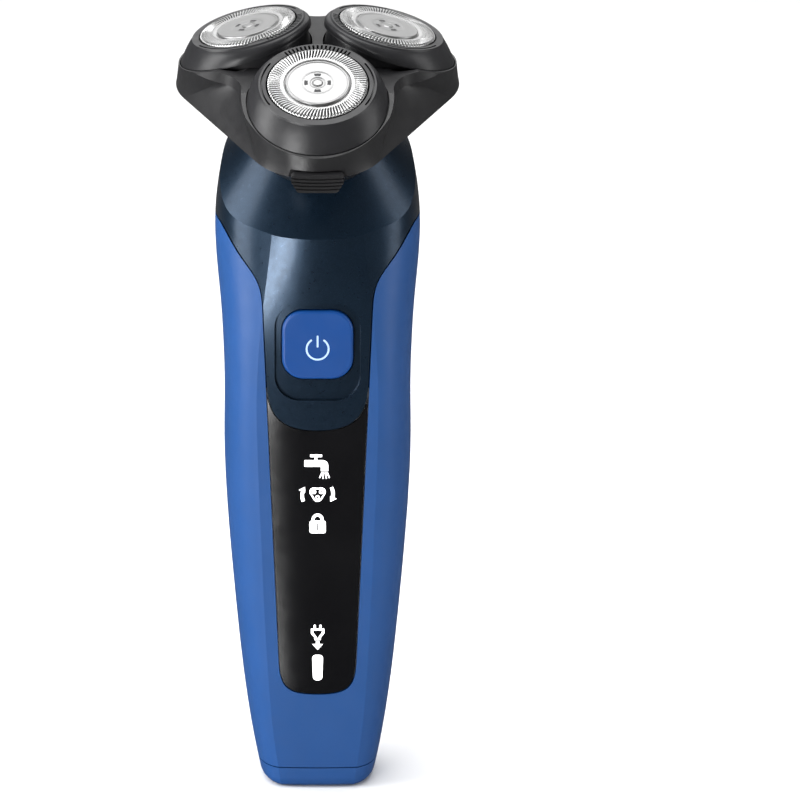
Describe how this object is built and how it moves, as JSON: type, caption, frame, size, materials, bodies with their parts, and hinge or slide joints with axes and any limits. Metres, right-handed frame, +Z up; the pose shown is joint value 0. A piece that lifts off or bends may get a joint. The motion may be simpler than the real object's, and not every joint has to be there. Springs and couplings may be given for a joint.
{
  "type": "electric shaver",
  "caption": "Cordless rotary electric shaver: floating ring-shaped foils on a hinged pull-off head, power button, display field and charging inlet.",
  "frame": {"origin": "middle of the charging inlet's mouth, in the flat underside of the bottom cap", "axes": "+Z up the handle, -Y out of the front with the power button, +X to the right seen from the front"},
  "size_m": [0.0616, 0.0587, 0.1719],
  "materials": {
    "blue_shell": "satin blue moulded plastic",
    "dark_housing": "glossy metallic dark blue lacquer",
    "display": "polished black",
    "button_blue": "semi-gloss blue",
    "head_plastic": "fine-grained anthracite",
    "soft_grip": "matt ribbed",
    "steel": "brushed and polished",
    "inner_plastic": "natural grey",
    "gear_plastic": "natural acetal",
    "copper_alloy": "bright",
    "motor_steel": "zinc plated",
    "board": "solder-masked laminate",
    "seal_rubber": "matt",
    "cell_wrap": "shrink-wrapped cell"
  },
  "bodies": {
    "handle": {"grip_shell": "blue_shell", "front_housing": "dark_housing", "display_panel": "display", "light_box": "inner_plastic", "rear_grip": "soft_grip", "bottom_cap": "blue_shell", "chassis": "inner_plastic", "battery": "cell_wrap", "battery_contact_lower": "copper_alloy", "battery_contact_upper": "copper_alloy", "circuit_board": "board", "tactile_switch": "display", "charging_inlet": "head_plastic", "charging_pin_left": "copper_alloy", "charging_pin_right": "copper_alloy", "cap_screw_left": "motor_steel", "cap_screw_right": "motor_steel", "neck_ring": "head_plastic", "shaft_seal": "seal_rubber", "motor_bracket": "inner_plastic", "motor_can": "motor_steel", "motor_screw_front": "motor_steel", "motor_screw_rear": "motor_steel"},
    "motor_rotor": {"motor_rotor": "motor_steel", "motor_shaft": "motor_steel", "drive_coupling": "gear_plastic"},
    "power_button": {"power_button": "button_blue"},
    "shaving_unit": {"hair_chamber": "head_plastic", "gear_cover": "head_plastic", "neck_seal": "seal_rubber"},
    "release_tab": {"release_tab": "head_plastic"},
    "drive_gear": {"drive_gear": "gear_plastic"},
    "head_lid": {"head_frame": "head_plastic", "hinge_pin": "motor_steel"},
    "spindle_front": {"spindle_gear_front": "gear_plastic", "spindle_tip_front": "inner_plastic"},
    "ring_front": {"ring_carrier_front": "head_plastic"},
    "foil_front": {"cap_front": "steel", "cap_insert_front": "steel", "cap_retainer_front": "inner_plastic"},
    "cutter_front": {"cutter_front": "steel", "cutter_carrier_front": "inner_plastic"},
    "spindle_right": {"spindle_gear_right": "gear_plastic", "spindle_tip_right": "inner_plastic"},
    "ring_right": {"ring_carrier_right": "head_plastic"},
    "foil_right": {"cap_right": "steel", "cap_insert_right": "steel", "cap_retainer_right": "inner_plastic"},
    "cutter_right": {"cutter_right": "steel", "cutter_carrier_right": "inner_plastic"},
    "spindle_left": {"spindle_gear_left": "gear_plastic", "spindle_tip_left": "inner_plastic"},
    "ring_left": {"ring_carrier_left": "head_plastic"},
    "foil_left": {"cap_left": "steel", "cap_insert_left": "steel", "cap_retainer_left": "inner_plastic"},
    "cutter_left": {"cutter_left": "steel", "cutter_carrier_left": "inner_plastic"}
  },
  "joints": [
    {"name": "motor_spin", "type": "hinge", "parent": "handle", "child": "motor_rotor", "pos_m": [0, 0.00912, 0.12688], "axis": [0, -0.3256, 0.9455], "continuous": true},
    {"name": "power_press", "type": "slide", "parent": "handle", "child": "power_button", "axis": [0, 0.9986, 0.0523], "range_m": [0, 0.0006], "stiffness_N_per_m": 800, "springref_m": -0.0005},
    {"name": "head_pull", "type": "slide", "parent": "handle", "child": "shaving_unit", "axis": [0, -0.3256, 0.9455], "range_m": [0, 0.02]},
    {"name": "release_press", "type": "slide", "parent": "shaving_unit", "child": "release_tab", "axis": [0, 0.9455, 0.3256], "range_m": [0, 0.0006], "stiffness_N_per_m": 600, "springref_m": -0.0005},
    {"name": "drive_gear_spin", "type": "hinge", "parent": "shaving_unit", "child": "drive_gear", "pos_m": [0, 0.00131, 0.14957], "axis": [0, -0.3256, 0.9455], "continuous": true},
    {"name": "lid_open", "type": "hinge", "parent": "shaving_unit", "child": "head_lid", "pos_m": [0, 0.02265, 0.16009], "axis": [-1, 0, 0], "range_deg": [0, 95]},
    {"name": "spindle_spin_front", "type": "hinge", "parent": "shaving_unit", "child": "spindle_front", "pos_m": [0, -0.01356, 0.14445], "axis": [0, -0.3256, 0.9455], "continuous": true},
    {"name": "ring_tilt_front", "type": "hinge", "parent": "head_lid", "child": "ring_front", "pos_m": [0, -0.01703, 0.15454], "axis": [1, 0, 0], "range_deg": [-4, 4], "stiffness_Nm_per_rad": 0.03},
    {"name": "foil_tilt_front", "type": "hinge", "parent": "ring_front", "child": "foil_front", "pos_m": [0, -0.01875, 0.15712], "axis": [0, -0.832, -0.5548], "range_deg": [-3, 3], "stiffness_Nm_per_rad": 0.02},
    {"name": "cutter_spin_front", "type": "hinge", "parent": "foil_front", "child": "cutter_front", "pos_m": [0, -0.01914, 0.15771], "axis": [0, -0.5548, 0.832], "continuous": true},
    {"name": "spindle_spin_right", "type": "hinge", "parent": "shaving_unit", "child": "spindle_right", "pos_m": [0.01362, 0.00874, 0.15213], "axis": [0, -0.3256, 0.9455], "continuous": true},
    {"name": "ring_tilt_right", "type": "hinge", "parent": "head_lid", "child": "ring_right", "pos_m": [0.01362, 0.00527, 0.16222], "axis": [-0.5, 0.8188, 0.282], "range_deg": [-4, 4], "stiffness_Nm_per_rad": 0.03},
    {"name": "foil_tilt_right", "type": "hinge", "parent": "ring_right", "child": "foil_right", "pos_m": [0.0143, 0.00466, 0.16519], "axis": [0.8377, 0.5399, -0.0825], "range_deg": [-3, 3], "stiffness_Nm_per_rad": 0.02},
    {"name": "cutter_spin_right", "type": "hinge", "parent": "foil_right", "child": "cutter_right", "pos_m": [0.01445, 0.00453, 0.16586], "axis": [0.2198, -0.1949, 0.9559], "continuous": true},
    {"name": "spindle_spin_left", "type": "hinge", "parent": "shaving_unit", "child": "spindle_left", "pos_m": [-0.01362, 0.00874, 0.15213], "axis": [0, -0.3256, 0.9455], "continuous": true},
    {"name": "ring_tilt_left", "type": "hinge", "parent": "head_lid", "child": "ring_left", "pos_m": [-0.01362, 0.00527, 0.16222], "axis": [-0.5, -0.8188, -0.282], "range_deg": [-4, 4], "stiffness_Nm_per_rad": 0.03},
    {"name": "foil_tilt_left", "type": "hinge", "parent": "ring_left", "child": "foil_left", "pos_m": [-0.0143, 0.00466, 0.16519], "axis": [-0.8377, 0.5399, -0.0825], "range_deg": [-3, 3], "stiffness_Nm_per_rad": 0.02},
    {"name": "cutter_spin_left", "type": "hinge", "parent": "foil_left", "child": "cutter_left", "pos_m": [-0.01445, 0.00453, 0.16586], "axis": [-0.2198, -0.1949, 0.9559], "continuous": true}
  ],
  "couplings": [
    {"joint": "drive_gear_spin", "follows": "motor_spin", "ratio": 1},
    {"joint": "spindle_spin_front", "follows": "motor_spin", "ratio": -1.125},
    {"joint": "cutter_spin_front", "follows": "motor_spin", "ratio": -1.125},
    {"joint": "spindle_spin_right", "follows": "motor_spin", "ratio": -1.125},
    {"joint": "cutter_spin_right", "follows": "motor_spin", "ratio": -1.125},
    {"joint": "spindle_spin_left", "follows": "motor_spin", "ratio": -1.125},
    {"joint": "cutter_spin_left", "follows": "motor_spin", "ratio": -1.125}
  ]
}
